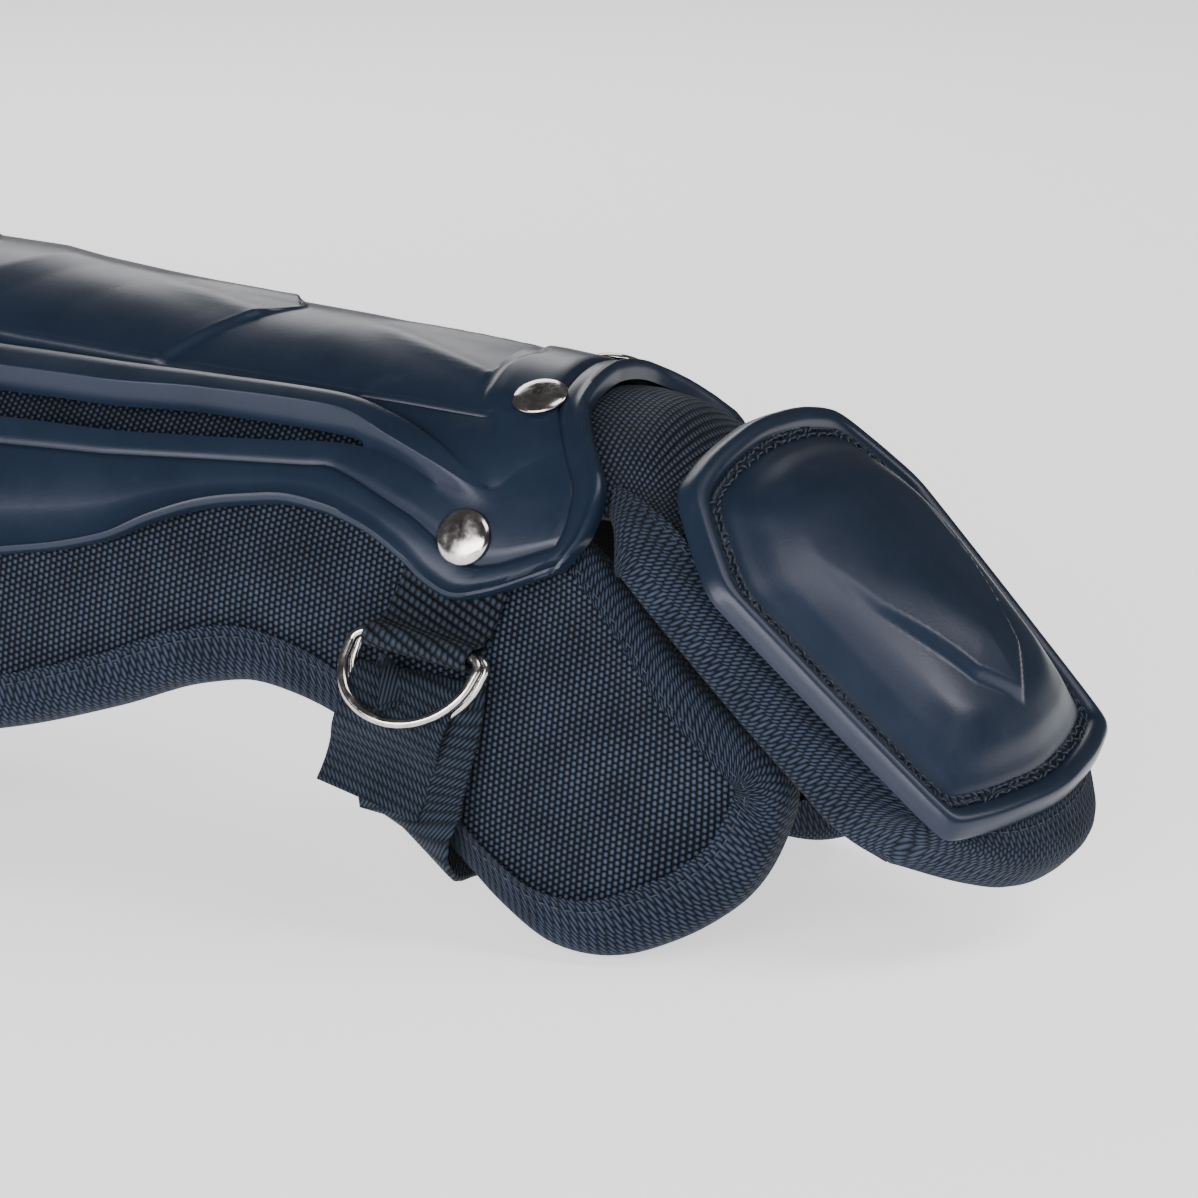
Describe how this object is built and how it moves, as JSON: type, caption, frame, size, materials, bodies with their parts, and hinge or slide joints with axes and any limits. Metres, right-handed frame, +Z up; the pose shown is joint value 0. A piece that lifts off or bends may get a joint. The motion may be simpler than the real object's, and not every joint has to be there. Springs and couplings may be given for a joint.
{
  "type": "catcher's leg guard",
  "caption": "Moulded navy shin, knee and toe guard on a padded fabric liner, with riveted straps closed by a pair of D-rings.",
  "frame": {"origin": "middle of the box, on the ground that the guard lies on", "axes": "+X down the leg to the toes, +Z up out of the shell, -Y the side with the rings"},
  "size_m": [0.6284, 0.1562, 0.1423],
  "materials": {
    "navy_plastic": "moulded, semi-gloss, fine grain",
    "navy_fabric": "coarse plain weave over foam",
    "navy_tape": "ribbed woven binding tape",
    "navy_webbing": "ribbed woven strap",
    "nickel": "polished nickel plate"
  },
  "bodies": {
    "root": {"shin_shell": "navy_plastic", "toe_plate": "navy_plastic", "knee_cap": "navy_plastic", "thigh_plate": "navy_plastic", "shin_pad": "navy_fabric", "toe_pad": "navy_fabric", "knee_pad": "navy_fabric", "shin_pad_binding_near": "navy_tape", "shin_pad_binding_far": "navy_tape", "toe_pad_binding": "navy_tape", "knee_pad_binding": "navy_tape", "ring_webbing": "navy_webbing", "ankle_strap": "navy_webbing", "calf_strap": "navy_webbing", "thigh_strap": "navy_webbing", "d_ring_lower": "nickel", "d_ring_upper": "nickel", "ankle_rivet_top_near": "nickel", "ankle_rivet_top_far": "nickel", "ankle_rivet_side_near": "nickel", "ankle_rivet_side_far": "nickel", "calf_rivet_near": "nickel", "calf_rivet_far": "nickel"}
  },
  "joints": []
}
